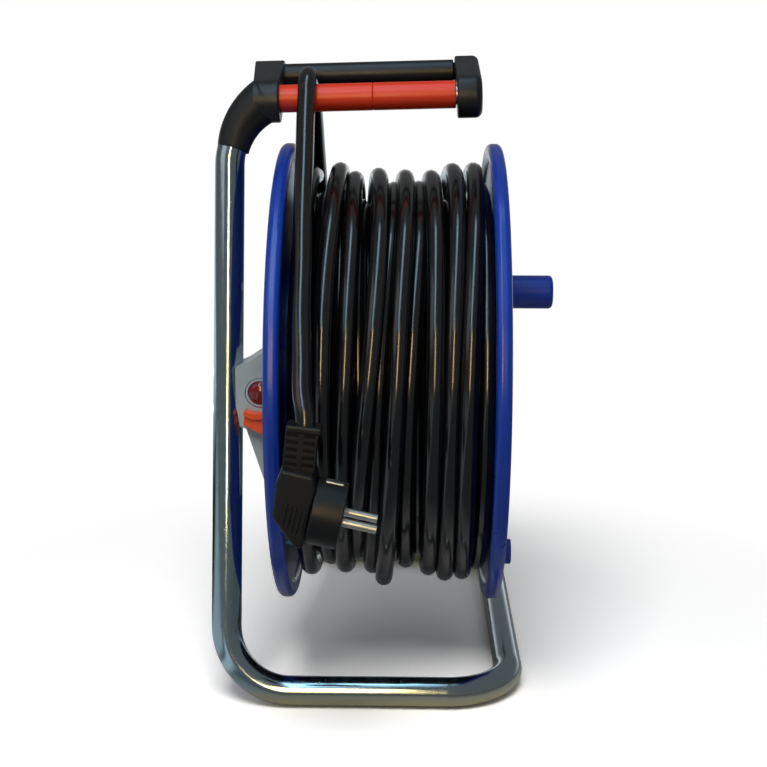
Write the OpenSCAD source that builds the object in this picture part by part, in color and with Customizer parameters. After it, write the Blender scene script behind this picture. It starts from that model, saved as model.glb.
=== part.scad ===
// Extension cord reel: a drum on a stub axle, carried by one leaning upright of a bent tube frame.
// X runs along the drum axis, the sockets face -X, Z is up and the floor is at Z = 0.

/* [Drum] */
// Radius of the two flanges
drum_r = 145; // [120:1:180]
// Width over the outer faces of the flanges
drum_w = 137; // [100:1:180]
// Width of a flange's rounded rim
rim_w = 9; // [6:0.5:14]
// Thickness of a flange's web
web_t = 4; // [3:0.5:6]
// Outer radius of the core that the cord is wound on
core_r = 72; // [68:1:80]
// Height of the drum axis over the floor
axis_h = 186.5; // [165:0.5:220]

/* [Frame] */
// Outer diameter of the frame tube
tube_d = 18; // [14:0.5:25]
// Wall of the frame tube
tube_wall = 1.5; // [1:0.1:3]
// Centre line radius of the floor bends
bend_r = 39; // [25:1:60]
// Centre line radius of the bend under the elbow sleeve
top_bend_r = 40; // [36:1:44]
// Distance from the middle of the drum to the upright
upright_x = 97.5; // [85:0.5:120]
// Distance from the axis to the front rail
front_y = 99; // [80:1:140]
// Distance from the axis to the rear rail
rear_y = 165; // [150:1:200]
// Distance from the middle of the drum to the right rail
right_x = 75; // [60:1:110]

/* [Handle] */
// Height of the grip's centre over the drum axis
grip_z = 172; // [165:1:220]
// Distance of the grip's centre in front of the axis
grip_y = 24; // [0:1:50]
// Diameter of the grip
grip_d = 16.6; // [15:0.2:30]
// Distance of the rear bar's centre behind the axis
bar_y = 18; // [10:1:40]
// Height of the rear bar over the grip
bar_rise = 14; // [0:1:25]
// Diameter of the rear bar
bar_d = 14.6; // [10:0.2:20]

/* [Knob] */
// Radius of the winding knob's circle
knob_circle = 102; // [80:1:120]
// Direction of the knob, from the rear and up
knob_turn = 22; // [0:1:180]
// Diameter of the winding knob
knob_d = 23.4; // [18:0.2:32]
// Length of the winding knob
knob_len = 42; // [25:1:70]

/* [Sockets] */
// Radius of a socket's round well
well_r = 19.5; // [19:0.1:20.5]
// Depth of a socket's well
well_deep = 17.5; // [16:0.1:19]

/* [Cord] */
// Outer diameter of the cord
cord_d = 11; // [8:0.1:11.5]
// Spacing of the turns in the outer layer
turn_pitch = 11.8; // [11.5:0.1:11.9]
// Turns in the outer layer
turns = 8; // [4:1:8]
// Downward tilt of the plug's pins
plug_tilt = 12.8; // [0:0.1:30]

/* [Hidden] */
$fn = 64;

BLUE = [0.09, 0.2, 0.72];
RED = [0.8, 0.22, 0.1];
BLACK = [0.08, 0.08, 0.09];
GREY = [0.46, 0.51, 0.5];
STEEL = [0.75, 0.77, 0.8];
BRASS = [0.8, 0.62, 0.3];

run_gap = 0.4;
tube_r = tube_d / 2;
bore_r = tube_r - tube_wall;
cord_r = cord_d / 2;
grip_r = grip_d / 2;
bar_r = bar_d / 2;
bar_z = grip_z + bar_rise;
floor_z = tube_r - axis_h;

// The leaning plane of the upright, from the front rail to the grip
lean_run = front_y - grip_y;
lean_rise = grip_z - floor_z;
lean = atan2(lean_run, lean_rise);
lean_len = sqrt(lean_run * lean_run + lean_rise * lean_rise);
seam_x = 8;
rear_end_x = -80;

// Handle stations along X, and the tilt that lifts its free end
cap_left_w = 13;
cap_right_w = 15;
cap_left_x = -81;
cap_right_x = 39;
grip_x0 = cap_left_x + cap_left_w;
grip_x1 = cap_right_x;
grip_seam_x = -11;
rod_r = 6;
cap_front_r = 13.2;
cap_rear_r = 9.5;
handle_tilt = 1.6;
sleeve_r = tube_r + 0.7;
top_sweep = 68;
sleeve_sweep = [14, 60];

// Drum stations along X
out_x = drum_w / 2;
web_x = out_x - 2;
in_x = web_x - web_t;
ring_r = core_r - 9.5;
ring_len = 8;
core_wall = 3.5;
core_web = 6;
hub_r = 16;
bush_r = 9.5;
axle_r = 7;
hub_x0 = -8;
flange_screw_r = core_r - 3;
web_screw_r = 50;
open_r = core_r - 7;
track_r = core_r + 10;

// Hub stations along X
plate_r = open_r - 2;
plate_t = 4;
can_r = ring_r - 1.5;
can_wall = 2;
back_x = -24;
back_t = 5;
back_screw_r = can_r - can_wall - 5;
sock_ring_r = 22.5;
sock_body_r = well_r + 1.2;
sock_circle = can_r - can_wall - sock_body_r - 0.3;
sock_step = 2 * asin((sock_ring_r + 0.633) / sock_circle);
sock_rise = 2;
sock_face = -out_x - sock_rise;
sock_floor = 3;
pin_gap = 19;
lid_gap = 0.5;
lid_t = 4;
lid_r = 21;
lid_pin_r = 1;
lid_axis = lid_r + 0.6;
lid_axis_x = sock_face - lid_gap - lid_t / 2;

// Arm of the hub, seen along Y, and what sits on its near face
arm_y0 = -70;
arm_y1 = -44;
arm_x = -70;
tube_y = -front_y + lean_run * (-floor_z) / lean_rise;
button_x = -77.5;
button_r = 7;
button_travel = 2.5;
wire_y = -55;
lever_x = -79;
lever_z = -15.5;
lever_t = 6;
lever_y = arm_y0 - run_gap - lever_t;

// Inner end of the cord
tail_turn = 75;
tail_x = 20;
clamp_gap = 9;

// Slip rings
slip_rs = [24, 32, 40];
slip_x = -15.2;

// Wound cord
bed_r = 119.5;
layer_r = bed_r + cord_r + 0.5;
layer_x0 = -38.5;
stub_r = 106;
stub_bend = 8.5;
cord_sides = 6;
cord_rings = 24;

// Overall box without the free cord, for the origin
screw_head = 3;
screw_head_r = 3.6;
saddle_seat = sqrt(bore_r * bore_r - screw_head_r * screw_head_r);
x_low = -upright_x - tube_r;
knob_x0 = out_x + 2;
x_high = knob_x0 + knob_len;
x_off = -(x_low + x_high) / 2;
y_off = -(rear_y + tube_r - drum_r) / 2;

// Route of the free cord: from the slot beside the left flange, over the grip, down to the plug
plug_at = [-44, -167, -41.5];
relief_at = [-7.4, 20];
relief_tilt = 6.5;
relief_len = 26.5;
relief_bore = 11;
body_top = 22;
plug_seat_x = 4;
plug_face_x = 21;
plug_face_r = 18.2;
plug_w = 30;
pin_shank_r = 2;
function plug_point(x, z) = plug_at + [x * cos(plug_tilt) + z * sin(plug_tilt), 0, z * cos(plug_tilt) - x * sin(plug_tilt)];
function relief_point(h) = plug_point(relief_at[0] - h * sin(relief_tilt), relief_at[1] + h * cos(relief_tilt));
free_x = -50;
slot_r = bed_r + cord_r + 0.6;
free_route = concat(
    [for (a = [-280 : 12 : 44]) [free_x, slot_r * cos(a), slot_r * sin(a)]],
    [[-50, 60, 118], [-50, 34, 142], [-50, 12, 163], [-50.5, 2, 173], [-51, -6, 181.5], [-51, -15, 184.5],
     [-51, -24, 186.2], [-51, -33, 182.5], [-51, -39, 174.5], [-51, -48, 162.5], [-50.5, -67, 138.5],
     [-50, -90, 110.5], [-49, -112, 82], [-48.5, -131, 58], [-47, -147, 37], [-46, -160, 20],
     relief_point(relief_len), relief_point(relief_len - relief_bore)]);

function unit(v) = v / norm(v);
function tangent(p, i) = unit(p[min(i + 1, len(p) - 1)] - p[max(i - 1, 0)]);
function square_to(n, t) = unit(n - (n * t) * t);
function normals(p, start) =
    [for (i = 0, n = square_to(start, tangent(p, 0)); i < len(p);
          i = i + 1, n = square_to(n, tangent(p, min(i, len(p) - 1)))) n];
function polar(r, a) = [r * cos(a), r * sin(a)];

// Turns of the outer layer: a helix whose two ends turn inwards and run straight into the bed
function layer_point(a) = [layer_x0 + turn_pitch * a / 360, layer_r * cos(a), layer_r * sin(a)];
layer_last = 360 * turns;
stub = concat([[stub_r, 0], [stub_r + 6, 0]],
    [for (t = [0 : 22.5 : 90]) [layer_r - stub_bend * (1 - sin(t)), stub_bend * (1 - cos(t))]]);
function layer_stub(a, side) = [for (p = stub) [layer_x0 + turn_pitch * a / 360,
    p[0] * cos(a) - side * p[1] * sin(a), p[0] * sin(a) + side * p[1] * cos(a)]];
function reversed(v) = [for (i = [len(v) - 1 : -1 : 0]) v[i]];
layer_turns = [for (a = [15 : 360 / cord_rings : layer_last - 15]) layer_point(a)];
layer_route = concat(layer_stub(0, 1), layer_turns, reversed(layer_stub(layer_last, -1)));
layer_gap = min([for (i = [0 : len(layer_turns) - cord_rings - 1])
    norm(layer_turns[i + cord_rings] - layer_turns[i])]) - cord_d;
echo(least_gap_between_turns = layer_gap);

// A tube swept along a route of points
module swept(route, r, sides, start) {
    n = normals(route, start);
    rings = [for (i = [0 : len(route) - 1]) let (t = tangent(route, i), b = cross(t, n[i]))
        [for (k = [0 : sides - 1]) route[i] + r * (cos(360 * k / sides) * n[i] + sin(360 * k / sides) * b)]];
    last = (len(route) - 1) * sides;
    walls = [for (i = [0 : len(route) - 2], k = [0 : sides - 1]) let (
        a = i * sides + k, b = i * sides + (k + 1) % sides) each [[a, a + sides, b], [b, a + sides, b + sides]]];
    polyhedron([for (ring = rings) each ring],
        concat(walls, [[for (k = [0 : sides - 1]) k]], [[for (k = [sides - 1 : -1 : 0]) last + k]]));
}

module place() translate([x_off, y_off, axis_h]) children();
module lean_plane() translate([0, -front_y, floor_z]) rotate([-lean, 0, 0]) children();
module along_x(x0, x1, r, y = 0, z = 0) translate([x0, y, z]) rotate([0, 90, 0]) cylinder(h = x1 - x0, r = r);
module along_y(y0, y1, r, x = 0, z = 0) translate([x, y0, z]) rotate([-90, 0, 0]) cylinder(h = y1 - y0, r = r);
module turned() rotate([0, 90, 0]) rotate_extrude($fn = 128) children();
module band(r0, r1, x0, x1) translate([r0, x0]) square([r1 - r0, x1 - x0]);
module round_band(r0, r1, x0, x1, c) {
    band(r0 + c, r1 - c, x0, x1);
    band(r0, r1, x0 + c, x1 - c);
    for (r = [r0 + c, r1 - c], x = [x0 + c, x1 - c]) translate([r, x]) circle(r = c, $fn = 32);
}
module ring_of(count, r, start = 0) for (i = [0 : count - 1]) rotate([start + 360 * i / count, 0, 0])
    translate([0, r, 0]) children();
module quarter(bend, r, turn) rotate([0, 0, turn]) rotate_extrude(angle = 90) translate([bend, 0]) circle(r = r);
module at_socket(i) rotate([sock_step * (1 - i), 0, 0]) translate([0, sock_circle, 0]) children();
module sockets() for (i = [0 : 2]) at_socket(i) children();

// Two round ends of different size with straight flanks between them
module pear(a, ra, b, rb) {
    d = b - a;
    dir = atan2(d[1], d[0]);
    open = acos((ra - rb) / norm(d));
    polygon([a + polar(ra, dir + open), a + polar(ra, dir - open), b + polar(rb, dir - open),
        b + polar(rb, dir + open)]);
    translate(a) circle(r = ra);
    translate(b) circle(r = rb);
}

// Frame

module c_tube(r, x_end, over) {
    foot = -upright_x + bend_r;
    along_x(foot, x_end, r);
    translate([foot, 0, bend_r]) rotate([90, 0, 0]) quarter(bend_r, r, 180);
    translate([-upright_x, 0, bend_r]) cylinder(h = lean_len - top_bend_r - bend_r, r = r);
    c_top(r, 0, top_sweep + over);
}
module c_top(r, from, to) translate([-upright_x + top_bend_r, 0, lean_len - top_bend_r]) rotate([90, 0, 0])
    rotate([0, 0, 180 - from]) rotate_extrude(angle = from - to) translate([top_bend_r, 0]) circle(r = r);
module frame_upper_tube() color(STEEL) difference() {
    lean_plane() c_tube(tube_r, seam_x, 0);
    lean_plane() c_tube(bore_r, seam_x + 1, 1);
    saddle_places() along_x(-upright_x - tube_r - 1, -upright_x, screw_head_r + 0.4);
    saddle_places() along_x(-upright_x, -upright_x + tube_r + 1, 2.1);
    rivet_places() rivet_hole();
}
module floor_tube(r, x0, x1) translate([0, 0, floor_z]) {
    corner = right_x - bend_r;
    along_x(x0, corner, r, -front_y);
    translate([corner, bend_r - front_y, 0]) quarter(bend_r, r, 270);
    along_y(bend_r - front_y, rear_y - bend_r, r, right_x);
    translate([corner, rear_y - bend_r, 0]) quarter(bend_r, r, 0);
    along_x(x1, corner, r, rear_y);
}
module frame_lower_tube() color(STEEL) difference() {
    floor_tube(tube_r, seam_x, rear_end_x);
    floor_tube(bore_r, seam_x - 1, rear_end_x - 1);
    rivet_places() rivet_hole();
}
spigot_len = 50;
module rivet_places() for (s = [-1, 1]) translate([seam_x + s * 14, -front_y, floor_z]) children();
module rivet_hole() along_y(bore_r - 3, tube_r + 1, 1.6);
module tube_spigot() color(STEEL) difference() {
    along_x(seam_x - spigot_len / 2, seam_x + spigot_len / 2, bore_r, -front_y, floor_z);
    along_x(seam_x - spigot_len, seam_x + spigot_len, bore_r - 1.5, -front_y, floor_z);
    rivet_places() rivet_hole();
}
module spigot_rivets() color(STEEL) rivet_places() {
    along_y(bore_r - 2, tube_r, 1.6);
    along_y(tube_r, tube_r + 0.9, 3);
}
module tube_end_plug() color(BLACK) turned_end() {
    along_x(-3, 0, tube_r);
    along_x(0, 14, bore_r);
}
module turned_end() translate([rear_end_x, rear_y, floor_z]) children();

// Handle

module tilted() translate([cap_left_x, 0, grip_z]) rotate([0, -handle_tilt, 0]) translate([-cap_left_x, 0, -grip_z])
    children();
module elbow_sleeve() color(BLACK) difference() {
    lean_plane() c_top(sleeve_r, sleeve_sweep[0], sleeve_sweep[1]);
    lean_plane() c_top(tube_r, sleeve_sweep[0] - 1, sleeve_sweep[1] + 1);
    tilted() cap_plate(cap_left_x, cap_left_w);
}
module cap_plate(x, w) translate([x, 0, 0]) rotate([90, 0, 90]) linear_extrude(w)
    pear([-grip_y, grip_z - 1], cap_front_r, [bar_y, bar_z], cap_rear_r);
module cap_left() color(BLACK) difference() {
    tilted() difference() {
        cap_plate(cap_left_x, cap_left_w);
        along_x(grip_x0 - rod_seat, grip_x0 + 1, rod_r, -grip_y, grip_z);
        along_x(grip_x0 - 8, grip_x0 + 1, bar_r - 2, bar_y, bar_z);
    }
    lean_plane() c_top(tube_r, 0, top_sweep);
}
module cap_right() color(BLACK) tilted() difference() {
    cap_plate(cap_right_x, cap_right_w);
    along_x(cap_right_x - 1, cap_right_x + 9, rod_r, -grip_y, grip_z);
    along_x(cap_right_x - 1, cap_right_x + 8, bar_r - 2, bar_y, bar_z);
    for (p = handle_screw_at) along_x(cap_right_x, cap_right_x + cap_right_w + 1, 2, p[0], p[1]);
    for (p = handle_screw_at) along_x(cap_right_x + cap_right_w - 3, cap_right_x + cap_right_w + 1, 4.2, p[0], p[1]);
}
handle_screw_at = [[-grip_y, grip_z], [bar_y, bar_z]];
rod_seat = 3;
module rear_bar() color(BLACK) tilted() difference() {
    union() {
        along_x(grip_x0, grip_x1, bar_r, bar_y, bar_z);
        along_x(grip_x0 - 8, grip_x1 + 8, bar_r - 2, bar_y, bar_z);
    }
    along_x(grip_x1 - 4, grip_x1 + 9, 2, bar_y, bar_z);
}
module grip_rod() color(STEEL) tilted() difference() {
    along_x(grip_x0 - rod_seat, grip_x1 + 9, rod_r, -grip_y, grip_z);
    along_x(grip_x1 - 2, grip_x1 + 10, 2, -grip_y, grip_z);
}
module grip_tube(x0, x1) color(RED) tilted() difference() {
    along_x(x0, x1, grip_r, -grip_y, grip_z);
    along_x(x0 - 1, x1 + 1, rod_r, -grip_y, grip_z);
}
module grip_left() grip_tube(grip_x0, grip_seam_x);
module grip_right() grip_tube(grip_seam_x, grip_x1);
module handle_screws() color(STEEL) tilted() for (p = handle_screw_at) {
    along_x(grip_x1, cap_right_x + cap_right_w - 3, 2, p[0], p[1]);
    along_x(cap_right_x + cap_right_w - 3, cap_right_x + cap_right_w - 0.4, 4, p[0], p[1]);
}

// Hub, fixed to the upright

arm_side = [[-92, 15], [-86, 17.5], [-77, 23.5], [arm_x, 27], [arm_x, -66], [-75, -56], [-86, -22], [-92, -20]];
module arm_prism(pad) translate([0, arm_y1, 0]) rotate([90, 0, 0]) linear_extrude(arm_y1 - arm_y0) {
    polygon(arm_side);
    if (pad > 0) translate([arm_x, -40]) square([pad, 60]);
}
module saddle_places() lean_plane() for (s = [-1, 1])
    translate([0, 0, -floor_z / cos(lean) + s * 11]) children();
module hub_shell() color(GREY) difference() {
    union() {
        turned() {
            band(0, plate_r, -out_x, -out_x + plate_t);
            band(can_r - can_wall, can_r, -out_x + plate_t, back_x + back_t);
        }
        arm_prism(0);
        intersection() {
            arm_prism(4);
            along_x(arm_x - 40, arm_x + 5, plate_r - 0.5);
        }
        intersection() {
            translate([-77, arm_y1 - 1, -20]) cube([9, 24, 40]);
            along_x(-78, -60, plate_r - 0.5);
        }
        ring_of(4, back_screw_r, 45) along_x(-out_x + plate_t, back_x, 4.5);
    }
    ring_of(4, back_screw_r, 45) along_x(back_x - 8, back_x + 1, 1.5);
    sockets() along_x(sock_face - 20, sock_face + well_deep + sock_floor + 2, sock_body_r);
    lean_plane() translate([-upright_x, 0, 0]) cylinder(h = lean_len, r = tube_r);
    saddle_places() along_x(-upright_x, -upright_x + 22, 1.8);
    along_y(arm_y0 - 1, arm_y0 + 18, button_r + 2, button_x, 0);
    along_y(arm_y0 - 1, arm_y0 + 10, 2, lever_x, lever_z);
    along_x(button_x, -out_x + plate_t + 1, 3, wire_y, 0);
}
module saddle_screws() color(STEEL) saddle_places() translate([-upright_x + saddle_seat, 0, 0]) {
    along_x(-screw_head, 0, screw_head_r);
    along_x(0, 22 - saddle_seat, 1.8);
}
module socket_inserts() color(RED) sockets() difference() {
    union() {
        along_x(sock_face, -out_x, sock_ring_r);
        along_x(-out_x, sock_face + well_deep + sock_floor, sock_body_r);
        for (s = [-1, 1]) translate([lid_axis_x - 1.6, lid_axis - 2, s * 11 - 2])
            cube([-out_x - lid_axis_x + 1.6, 4, 4]);
    }
    along_x(sock_face - 1, sock_face + well_deep, well_r);
    for (s = [-1, 1]) {
        along_x(sock_face, 0, 3, 0, s * pin_gap / 2);
        earth_clip(s, sock_face - 1);
    }
    along_z_pin(lid_pin_r);
}
module along_z_pin(r) translate([lid_axis_x, lid_axis, -13.5]) cylinder(h = 27, r = r);
module contact_sleeves() color(BRASS) sockets() for (s = [-1, 1]) difference() {
    along_x(sock_face + well_deep, -36, 3, 0, s * pin_gap / 2);
    along_x(sock_face, -38, 2.4, 0, s * pin_gap / 2);
}
module earth_clip(s, x) translate([x, s * (well_r - 0.2) - 0.8, -3.5])
    cube([sock_face + well_deep - x, 1.6, 7]);
module earth_clips() color(BRASS) sockets() for (s = [-1, 1]) earth_clip(s, sock_face + 3);
module lid_pins() color(STEEL) sockets() along_z_pin(lid_pin_r);
module hub_back() color(BLACK) difference() {
    union() {
        along_x(back_x, back_x + back_t, can_r - can_wall);
        along_x(back_x - 10, back_x, hub_r);
    }
    along_x(back_x - 11, back_x + back_t + 1, axle_r);
    for (r = slip_rs) along_x(back_x - 1, back_x + back_t + 1, 2.6, -r, 0);
    ring_of(4, back_screw_r, 45) along_x(back_x - 1, back_x + back_t + 1, 1.5);
}
module back_screws() color(STEEL) ring_of(4, back_screw_r, 45) along_x(back_x - 8, back_x + back_t, 1.5);
module brush_block() color(BLACK) difference() {
    translate([back_x - 14, -46, -7]) cube([14, 28, 14]);
    for (r = slip_rs) along_x(back_x - 12, back_x + 1, 2.6, -r, 0);
}
module brushes() color([0.2, 0.2, 0.2]) for (r = slip_rs) along_x(back_x - 10, slip_x - 0.3, 2.6, -r, 0);
module axle() color(STEEL) along_x(back_x - 10, web_x + 4, axle_r);
module axle_nut() color(STEEL) difference() {
    union() {
        along_x(in_x + 0.4, in_x + 2.4, 13);
        translate([in_x + 2.4, 0, 0]) rotate([0, 90, 0]) cylinder(h = 5, r = 11, $fn = 6);
    }
    along_x(in_x, in_x + 10, axle_r);
}
module cutout() color(BLACK) difference() {
    along_y(arm_y0 + 8, arm_y0 + 18, button_r + 2, button_x, 0);
    along_y(arm_y0 + 7, arm_y0 + 13, 4.4, button_x, 0);
}
module button_ring() color(GREY) difference() {
    along_y(arm_y0 - 0.2, arm_y0 + 3, button_r + 2, button_x, 0);
    along_y(arm_y0 - 2, arm_y0 + 4, button_r + 0.1, button_x, 0);
}
module lever_pin() color(STEEL) along_y(lever_y + 3, arm_y0 + 10, 2, lever_x, lever_z);

// Moving pieces on the hub

module lid() color(RED) difference() {
    union() {
        along_x(sock_face - lid_gap - lid_t, sock_face - lid_gap, lid_r);
        translate([lid_axis_x, lid_axis, -8.5]) cylinder(h = 17, r = lid_t / 2);
        translate([sock_face - lid_gap - lid_t, -lid_r - 2.2, -5]) cube([lid_t / 2, 4, 10]);
    }
    translate([lid_axis_x, lid_axis, -14]) cylinder(h = 28, r = lid_pin_r + 0.05);
}
module lid_top() at_socket(0) lid();
module lid_rear() at_socket(1) lid();
module lid_bottom() at_socket(2) lid();
module reset_button() color([0.45, 0.06, 0.06]) {
    along_y(arm_y0 - 2.6, arm_y0 + 4.4, button_r, button_x, 0);
    along_y(arm_y0 + 4.4, arm_y0 + 9.6, 4, button_x, 0);
}
lever_lip = [[-86, -9], [-83, -10.6], [-79, -11.2], [-75, -10.6], [-70.4, -10.2], [-70.4, -12], [-75, -14.2],
    [-79, -14.8], [-83, -14.2], [-87, -12]];
lever_side = [[-86, -9], [-83, -10.6], [-79, -11.2], [-75, -10.6], [-70.4, -10.2], [-70.4, -26], [-76, -24],
    [-87, -18]];
module lever_plate(y, t, side) translate([0, y + t, 0]) rotate([90, 0, 0]) linear_extrude(t) polygon(side);
module brake_lever() color([0.9, 0.3, 0.1]) difference() {
    union() {
        lever_plate(lever_y, lever_t, lever_side);
        lever_plate(lever_y - 1.4, lever_t, lever_lip);
    }
    along_y(lever_y + 2.5, arm_y0, 2.05, lever_x, lever_z);
}

// Drum

module rim(s) mirror([0, s > 0 ? 0 : 1]) round_band(drum_r - 10, drum_r, out_x - rim_w, out_x, 3.4);
module flange_left() color(BLUE) difference() {
    turned() {
        rim(-1);
        band(open_r, drum_r - 6, -web_x, -in_x);
        band(open_r, track_r, -out_x, -in_x);
        for (r = [88, 112]) band(r, r + 4, -web_x - 1.2, -in_x);
    }
    ring_of(6, flange_screw_r) along_x(-out_x - 1, 0, 1.6);
    ring_of(6, flange_screw_r) along_x(-out_x - 1, -out_x + 2, 3.2);
}
module at_knob() rotate([knob_turn, 0, 0]) translate([0, knob_circle, 0]) children();
peg_at = [-30, -111.5];
module flange_right() color(BLUE) difference() {
    union() {
        turned() {
            rim(1);
            band(0, drum_r - 6, in_x, web_x);
            band(20, 26, in_x, out_x);
            for (r = [60, 84, 118]) band(r, r + 4, in_x, web_x + 1.2);
        }
        at_knob() along_x(in_x, out_x + 1.6, 15);
    }
    along_x(in_x - 1, out_x + 1, 20);
    at_knob() along_x(in_x + 1, out_x + 2, 5);
    along_x(web_x - 2, out_x + 1, 5, peg_at[0], peg_at[1]);
    along_x(web_x, out_x + 1, 8, peg_at[0], peg_at[1]);
    ring_of(6, web_screw_r, 30) along_x(in_x - 1, out_x, 1.6);
}
module drum_core() color(BLUE) difference() {
    union() {
        turned() {
            band(core_r - core_wall, core_r, -in_x, in_x);
            band(ring_r, core_r, -in_x, -in_x + ring_len);
            band(bush_r, core_r, in_x - core_web, in_x);
            band(bush_r, hub_r, hub_x0, in_x);
        }
        for (i = [0 : 5]) rotate([60 * i, 0, 0]) translate([in_x - 24, hub_r - 1, -1.5])
            cube([20, core_r - hub_r - 2, 3]);
    }
    ring_of(6, flange_screw_r) along_x(-in_x - 1, -in_x + ring_len + 1, 1.5);
    ring_of(6, web_screw_r, 30) along_x(in_x - core_web - 1, in_x + 1, 1.5);
    rotate([tail_turn, 0, 0]) {
        along_y(core_r - 10, core_r + 1, cord_r, tail_x, 0);
        clamp_holes();
    }
}
module core_screws() color(STEEL) {
    ring_of(6, flange_screw_r) {
        along_x(-out_x, -out_x + 2, 3);
        along_x(-out_x, -in_x + ring_len, 1.5);
    }
    ring_of(6, web_screw_r, 30) {
        along_x(web_x, web_x + 1.6, 3);
        along_x(in_x - core_web, web_x, 1.5);
    }
}
module bushes() color([0.85, 0.85, 0.8]) for (x = [hub_x0, in_x - 16]) difference() {
    along_x(x, x + 16, bush_r);
    along_x(x - 1, x + 17, axle_r + 0.06);
}
module slip_disc() color(BLACK) difference() {
    along_x(slip_x + 1.2, hub_x0 + 3, slip_rs[2] + 6);
    along_x(hub_x0, hub_x0 + 4, hub_r);
    along_x(slip_x, hub_x0 + 4, axle_r + 3);
    slip_bands();
}
module slip_bands() turned() for (r = slip_rs) band(r - 2.2, r + 2.2, slip_x, slip_x + 2.6);
module slip_rings() color(BRASS) slip_bands();
module clamp_holes() for (s = [-1, 1]) along_y(core_r - 30, core_r - 1.5, 1.4, tail_x, s * clamp_gap);
module cord_clamp() color(BLACK) rotate([tail_turn, 0, 0]) difference() {
    intersection() {
        translate([tail_x - 9, core_r - core_wall - 9, -12]) cube([18, 20, 24]);
        along_x(tail_x - 20, tail_x + 20, core_r - core_wall);
    }
    along_y(core_r - 30, core_r, cord_r, tail_x, 0);
    clamp_holes();
}
module clamp_screws() color(STEEL) rotate([tail_turn, 0, 0]) for (s = [-1, 1]) {
    along_y(core_r - core_wall - 9, core_r - 1.5, 1.4, tail_x, s * clamp_gap);
    along_y(core_r - core_wall - 11, core_r - core_wall - 9, 2.6, tail_x, s * clamp_gap);
}
module centre_cover() color(BLUE) difference() {
    union() {
        along_x(web_x - 2, out_x + 4, 20);
        along_x(out_x, out_x + 5.5, 17);
    }
    along_x(web_x - 3, out_x + 3, 16.5);
}
module cord_peg() color(BLUE) {
    along_x(web_x, out_x + 9, 8, peg_at[0], peg_at[1]);
    along_x(web_x - 2, web_x, 5, peg_at[0], peg_at[1]);
}
module knob_pin() color(STEEL) at_knob() {
    along_x(in_x + 1, knob_x0 + knob_len - 8, 4);
    along_x(in_x + 1, out_x + 1.6, 5);
    along_x(knob_x0 + knob_len - 8, knob_x0 + knob_len - 5, 6.5);
}
module winding_knob() color(BLUE) at_knob() difference() {
    rotate([0, 90, 0]) rotate_extrude() difference() {
        round_band(-knob_d / 2, knob_d / 2, knob_x0, knob_x0 + knob_len, 3);
        translate([-knob_d, 0]) square([knob_d, 2 * knob_x0 + knob_len]);
    }
    along_x(knob_x0 - 1, knob_x0 + knob_len - 8, 4.06);
    along_x(knob_x0 + knob_len - 8.3, knob_x0 + knob_len + 1, 7);
}
module knob_cap() color(BLUE) at_knob() along_x(knob_x0 + knob_len - 4.5, knob_x0 + knob_len - 0.4, 7);

// Cord

module cord_bed() color(BLACK) difference() {
    turned() round_band(core_r, bed_r, -in_x + 3, in_x - 3, 4);
    rotate([tail_turn, 0, 0]) along_y(core_r - 1, core_r + 12, cord_r, tail_x, 0);
    for (a = [0, layer_last]) rotate([a, 0, 0])
        along_y(stub_r, bed_r + 1, cord_r + 1.4, layer_x0 + turn_pitch * a / 360, 0);
}
module cord_layer() color(BLACK) swept(layer_route, cord_r, cord_sides, [1, 0, 0]);
module cord_tail() color(BLACK) rotate([tail_turn, 0, 0]) along_y(core_r - 24, core_r + 12, cord_r, tail_x, 0);
module cord_free() color(BLACK) swept(free_route, cord_r, 10, [1, 0, 0]);

module plug_frame() translate(plug_at) rotate([0, plug_tilt, 0]) children();
// Outline of the plug's body from the side, with the pins pointing right
plug_side = [[-17.3, 14], [-15.5, -5], [-1, -18], [plug_seat_x, -18], [plug_seat_x, 16], [1.5, body_top],
    [-16.2, body_top]];
module plug_relief() color(BLACK) plug_frame() difference() {
    translate([relief_at[0], 0, relief_at[1]]) rotate([0, -relief_tilt, 0]) difference() {
        translate([-8.6, -7, -3]) cube([17.2, 14, relief_len - 1.5]);
        for (i = [0 : 4], s = [-1, 1], y = [-1, 1])
            translate([s * 4.6, y * 7, 4.5 + i * 4]) cube([6.2, 2.4, 2], center = true);
    }
    translate([-40, -20, -40]) cube([80, 40, 40 + body_top]);
    translate([relief_at[0], 0, relief_at[1]]) rotate([0, -relief_tilt, 0])
        translate([0, 0, relief_len - relief_bore]) cylinder(h = relief_bore + 1, r = cord_r);
}
module plug_body() color(BLACK) plug_frame()
    translate([0, plug_w / 2, 0]) rotate([90, 0, 0]) linear_extrude(plug_w) polygon(plug_side);
module plug_face() color(BLACK) plug_frame() difference() {
    along_x(plug_seat_x, plug_face_x, plug_face_r);
    for (s = [-1, 1]) along_x(plug_face_x - 8, plug_face_x + 1, pin_shank_r, s * pin_gap / 2);
    for (s = [-1, 1]) translate([8, -3.2, s * 17 - 1.4]) cube([plug_face_x, 6.4, 2.8]);
}
module plug_pins() color(STEEL) plug_frame() for (s = [-1, 1]) {
    along_x(plug_face_x - 8, plug_face_x, pin_shank_r, s * pin_gap / 2);
    along_x(plug_face_x, plug_face_x + 19, 2.4, s * pin_gap / 2);
}
module plug_earths() color(BRASS) plug_frame() for (s = [-1, 1])
    translate([8, -3.2, s * 17 - 1.4]) cube([plug_face_x - 10.5, 6.4, 2.8]);

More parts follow.
